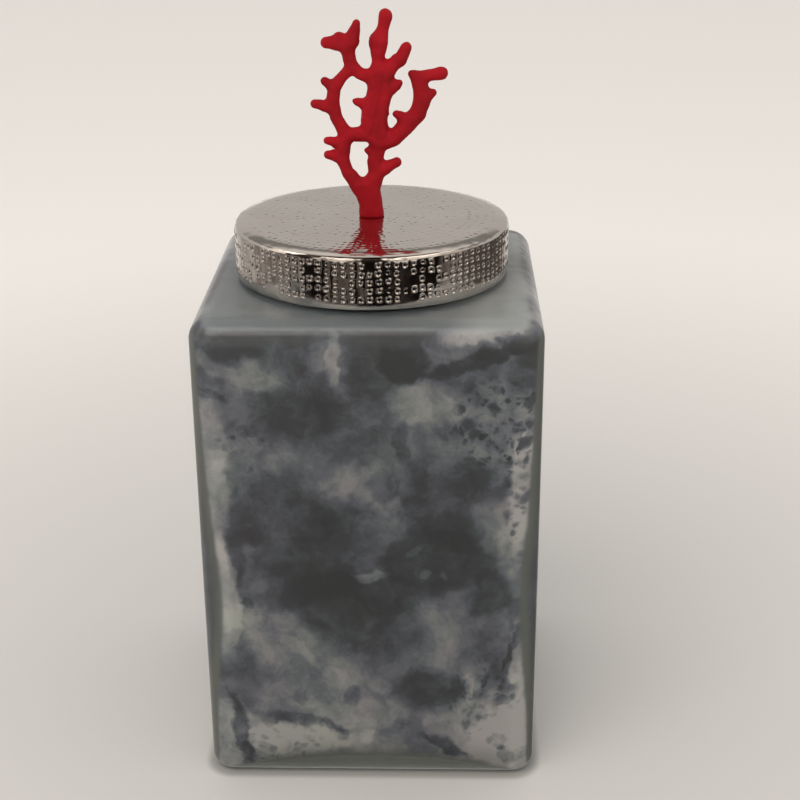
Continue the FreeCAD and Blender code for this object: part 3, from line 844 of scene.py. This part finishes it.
def crease_depth(place):
    """How deep the fold is at a point on the front."""
    flat = Vector((place.x, place.z - CORAL_LOW.z))
    nearest = CREASE_WIDTH
    points = [Vector(point) * MM for point in CREASE]
    for first, second in zip(points, points[1:]):
        run = second - first
        share = min(max((flat - first).dot(run) / run.length_squared, 0.0), 1.0)
        nearest = min(nearest, (flat - first - run * share).length)
    return CREASE_DEPTH * (1 - nearest / CREASE_WIDTH) if place.y < 0 else 0.0


def roughen(piece):
    """Cast lumps and grain, the fold, and a foot that stands flat on the lid."""
    mesh = piece.data
    lowest = min(vertex.co.z for vertex in mesh.vertices)
    normals = [vertex.normal.copy() for vertex in mesh.vertices]
    for vertex, normal in zip(mesh.vertices, normals):
        place = vertex.co.copy()
        rise = CORAL_LUMPS * noise.noise(place / CORAL_LUMP_SIZE)
        rise += CORAL_GRAIN * noise.noise(place / CORAL_GRAIN_SIZE)
        above = place.z - lowest
        foot = max(1 - above / CORAL_FOOT, 0.0)
        place += normal * (rise - crease_depth(place)) * (1 - foot)
        place.z += (CORAL_LOW.z - CORAL_SET - lowest) * foot
        vertex.co = place
    mesh.shade_smooth()


def coral_sprig():
    """The cast sprig: the CAD rods swollen and melted together, so that the forks fill, then slimmed."""
    mesh = NODES["coral_finial"].data.copy()
    piece = new_piece("coral_casting", mesh, red_enamel(), "lid", "coral_finial")
    melt(piece, CORAL_VOXEL, rounds=2)
    swell(piece, CORAL_SWELL)
    melt(piece, CORAL_VOXEL, rounds=3)
    swell(piece, -CORAL_SLIM)
    melt(piece, CORAL_VOXEL, rounds=2)
    roughen(piece)
    fit_inside(piece, CORAL_LOW - Vector((0, 0, CORAL_SET)), CORAL_HIGH)


def fit_inside(piece, low, high):
    """Squeeze a mesh into a box on the sides where it stands out."""
    points = [vertex.co for vertex in piece.data.vertices]
    for axis in range(3):
        least = min(point[axis] for point in points)
        most = max(point[axis] for point in points)
        start = max(least, low[axis])
        end = min(most, high[axis])
        for point in points:
            point[axis] = start + (point[axis] - least) * (end - start) / (most - least)


# --- Inner lid parts --------------------------------------------------------------------
def moulded_plastic():
    material, shader = new_material("moulded_plastic", Roughness=0.45, IOR=1.46)
    clouded(material, shader, 40.0, (0.74, 0.73, 0.70), (0.80, 0.79, 0.76))
    skin = noise_texture(material, object_coords(material), scale=1500.0, detail=2.0)
    bump(material, shader, skin, strength=0.1, distance=0.1 * MM)
    return material


def silicone():
    material, shader = new_material("silicone", Roughness=0.38, IOR=1.41)
    clouded(material, shader, 50.0, (0.60, 0.62, 0.61), (0.68, 0.70, 0.69))
    return material


def zinc_steel():
    material, shader = new_material("zinc_steel", Metallic=1.0, Roughness=0.3)
    clouded(material, shader, 500.0, (0.50, 0.51, 0.52), (0.66, 0.67, 0.66), detail=4.0)
    return material


# --- Studio -----------------------------------------------------------------------------
# The light from all round on dull surfaces.
AMBIENT = (0.87, 0.87, 0.87)
FLOOR_HALF = 6.0
# Painted shade: the floor is darker near the jar, and a painted contact shadow makes it darkest where the
# jar touches it.
FLOOR_NEAR_SHADED = (0.61, 0.58, 0.54)
FLOOR_FAR = (0.92, 0.86, 0.80)
FLOOR_FADE = (0.12, 0.75)
CONTACT_SHADOW_COLOUR = (0.10, 0.10, 0.09)
CONTACT_SHADOW_SHARE = 0.5
CONTACT_SHADOW_WIDTH = 4.0 * MM
# The painted contact shadow follows the jar's foot, a square with round corners; half the straight run of
# each side.
CORNER = 9.0 * MM
FOOT_STRAIGHT = WIDTH / 2 - CORNER


def floor_colour_and_shadow(material):
    coords = object_coords(material)
    # Painted shade: darker near the jar, paler far off.
    away = smooth_step(material, vector_maths(material, "LENGTH", coords), *FLOOR_FADE)
    colour = ramp(material, away, [(0.0, FLOOR_NEAR_SHADED), (1.0, FLOOR_FAR)])
    beyond = vector_maths(material, "ABSOLUTE", coords)
    beyond = vector_maths(material, "SUBTRACT", beyond, (FOOT_STRAIGHT,) * 3)
    beyond = vector_maths(material, "MAXIMUM", beyond)
    from_corner = vector_maths(material, "LENGTH", beyond)
    # Painted contact shadow round the jar's foot.
    contact_shadow = smooth_step(material, from_corner, CORNER, CORNER + CONTACT_SHADOW_WIDTH, CONTACT_SHADOW_SHARE, 0.0)
    return mix_colour(material, contact_shadow, colour, CONTACT_SHADOW_COLOUR)


def studio_floor():
    """A floor with painted shade near the jar and a painted contact shadow under it, that mirrors and glass
    don't see.
    """
    half = FLOOR_HALF
    mesh = bpy.data.meshes.new("studio_floor")
    corners = [(-half, -half, 0), (half, -half, 0), (half, half, 0), (-half, half, 0)]
    mesh.from_pydata(corners, [], [(0, 1, 2, 3)])
    floor = bpy.data.objects.new("studio_floor", mesh)
    bpy.context.scene.collection.objects.link(floor)
    material, shader = new_material("pale_floor_painted_shadow", Roughness=0.55)
    join(material, floor_colour_and_shadow(material), shader, "Base Color")
    mesh.materials.append(material)
    floor.visible_glossy = False


WARM = (1.0, 0.95, 0.90)
BROWN = (1.0, 0.78, 0.68)
# What mirrors see from level down: (degrees to the right of the camera's side, brightness).
SURROUNDINGS = (
    (-180, 0.95), (-160, 0.95), (-145, 0.55), (-128, 0.34), (-118, 0.54), (-106, 0.20), (-98, 0.36),
    (-88, 0.10), (-80, 0.30), (-70, 0.16), (-62, 0.28), (-56, 0.006), (-36, 0.006), (-32, 0.16),
    (-22, 0.07), (-12, 0.15), (-7, 0.006), (18, 0.006), (24, 0.04), (34, 0.006), (58, 0.006),
    (64, 0.15), (78, 0.24), (86, 0.07), (98, 0.09), (112, 0.06), (124, 0.10), (142, 0.06),
    (152, 0.60), (180, 0.95),
)
# How much of the front's brightness they see above level, in the same way.
LAMPS = (
    (-180, 0.3), (-146, 0.3), (-142, 1.3), (-126, 1.3), (-122, 0.08), (-107, 0.08), (-103, 1.6),
    (-73, 1.6), (-69, 0.04), (-47, 0.04), (-44, 1.0), (-39, 1.0), (-37, 0.1), (-34, 1.2), (-13, 1.2),
    (-9, 0.03), (12, 0.03), (15, 1.2), (23, 1.2), (26, 0.3), (29, 1.3), (56, 1.2), (64, 0.8),
    (86, 0.8), (92, 0.3), (180, 0.3),
)
# The brightness above level behind the object and in front of it: (height, brightness, tint).
BACKDROP = (
    (0.0, 0.54, WARM), (0.39, 0.52, WARM), (0.46, 0.22, WARM), (0.60, 0.24, WARM), (0.72, 0.75, WARM),
    (0.85, 0.75, WARM), (1.0, 0.40, WARM),
)
FRONT = (
    (0.0, 0.7, WARM), (0.55, 0.8, WARM), (0.62, 1.6, WARM), (0.76, 1.6, WARM), (0.80, 0.10, BROWN),
    (1.0, 0.10, BROWN),
)
STRAIGHT_DOWN = 0.5
# Where the front, the part above level and the part straight down start and are whole.
FRONT_SIDE = (-0.25, 0.15)
ABOVE_LEVEL = (-0.10, 0.06)
STEEPLY_DOWN = (-0.6, -0.85)
# Below this brightness the surroundings turn brown.
BROWN_BELOW = 0.5


def grey(level, tint=WARM):
    return tuple(level * part for part in tint)


def by_height(world, height, levels):
    return ramp(world, height, [(place, grey(level, tint)) for place, level, tint in levels])


def round_the_object(world, turn, levels):
    """A ramp round the object; what is dark is browner."""
    stops = []
    for degrees, level in levels:
        dark = min(max(1 - level / BROWN_BELOW, 0.0), 1.0)
        tint = tuple(warm + (brown - warm) * dark for warm, brown in zip(WARM, BROWN))
        stops.append((0.5 + degrees / 360, grey(level, tint)))
    return ramp(world, turn, stops)


def mirrored_room(world):
    """What mirrors see: a pale backdrop, a bright front, and dark and bright stripes all round."""
    parts = parts_of(world, node(world, "ShaderNodeTexCoord").outputs["Generated"])
    ahead = maths(world, "MULTIPLY", parts["Y"], -1.0)
    turn = maths(world, "ARCTAN2", parts["X"], ahead)
    turn = maths(world, "MULTIPLY_ADD", turn, 1 / (2 * math.pi), 0.5)
    height = parts["Z"]
    lamps = round_the_object(world, turn, LAMPS)
    front = mix_colour(world, 1.0, by_height(world, height, FRONT), lamps, "MULTIPLY")
    facing = smooth_step(world, ahead, *FRONT_SIDE)
    high = mix_colour(world, facing, by_height(world, height, BACKDROP), front)
    above = smooth_step(world, height, *ABOVE_LEVEL)
    seen = mix_colour(world, above, round_the_object(world, turn, SURROUNDINGS), high)
    steep = smooth_step(world, height, *STEEPLY_DOWN)
    return mix_colour(world, steep, seen, grey(STRAIGHT_DOWN))


def studio_world():
    """Soft white light on dull surfaces, and a room for mirrors and glass."""
    world = bpy.data.worlds.new("studio")
    bpy.context.scene.world = world
    world.use_nodes = True
    world.node_tree.nodes.clear()
    rays = node(world, "ShaderNodeLightPath").outputs
    colour = mix_colour(world, rays["Is Glossy Ray"], AMBIENT, mirrored_room(world))
    background = node(world, "ShaderNodeBackground", {"Color": colour, "Strength": 1.0})
    output = node(world, "ShaderNodeOutputWorld")
    world.node_tree.links.new(background.outputs[0], output.inputs[0])


def soft_light(name, place, target, size, power, colour):
    """A square lamp that mirrors don't see."""
    light = bpy.data.lights.new(name, "AREA")
    light.shape = "SQUARE"
    light.size = size
    light.energy = power
    light.color = colour
    lamp = bpy.data.objects.new(name, light)
    bpy.context.scene.collection.objects.link(lamp)
    lamp.location = place
    lamp.rotation_euler = (Vector(target) - Vector(place)).to_track_quat("-Z", "Y").to_euler()
    lamp.visible_glossy = False


# The camera: lens and sensor in millimetres, place in body widths, turns in degrees.
LENS = 69.7
SENSOR = 36.0
CAMERA_PLACE = Vector((0.2057, -4.5091, 2.8925)) * WIDTH
CAMERA_YAW = 1.58
CAMERA_DOWN = 22.21
CAMERA_ROLL = -0.41


def camera():
    data = bpy.data.cameras.new("camera")
    data.lens = LENS
    data.sensor_width = SENSOR
    holder = bpy.data.objects.new("camera", data)
    bpy.context.scene.collection.objects.link(holder)
    yaw = Matrix.Rotation(math.radians(CAMERA_YAW), 4, "Z")
    pitch = Matrix.Rotation(math.radians(90 - CAMERA_DOWN), 4, "X")
    roll = Matrix.Rotation(math.radians(CAMERA_ROLL), 4, "Z")
    holder.matrix_world = Matrix.Translation(CAMERA_PLACE) @ yaw @ pitch @ roll
    bpy.context.scene.camera = holder


# --- The scene --------------------------------------------------------------------------
camera()
studio_floor()
studio_world()
soft_light(
    "key_softbox", place=(-0.35, -0.7, 1.25), target=(0, 0, 0.1),
    size=0.9, power=7.0, colour=(1.0, 0.97, 0.93))
bpy.context.scene.view_settings.view_transform = "Standard"
paint_node("glass_jar", satin_glass())
marbled_coat()
hammered_lid()
coral_sprig()
plastic = moulded_plastic()
steel = zinc_steel()
paint_node("lid_insert", plastic)
paint_node("lid_seal", silicone())
for fastener in ("finial_screw", "flat_washer", "spring_washer"):
    paint_node(fastener, steel)
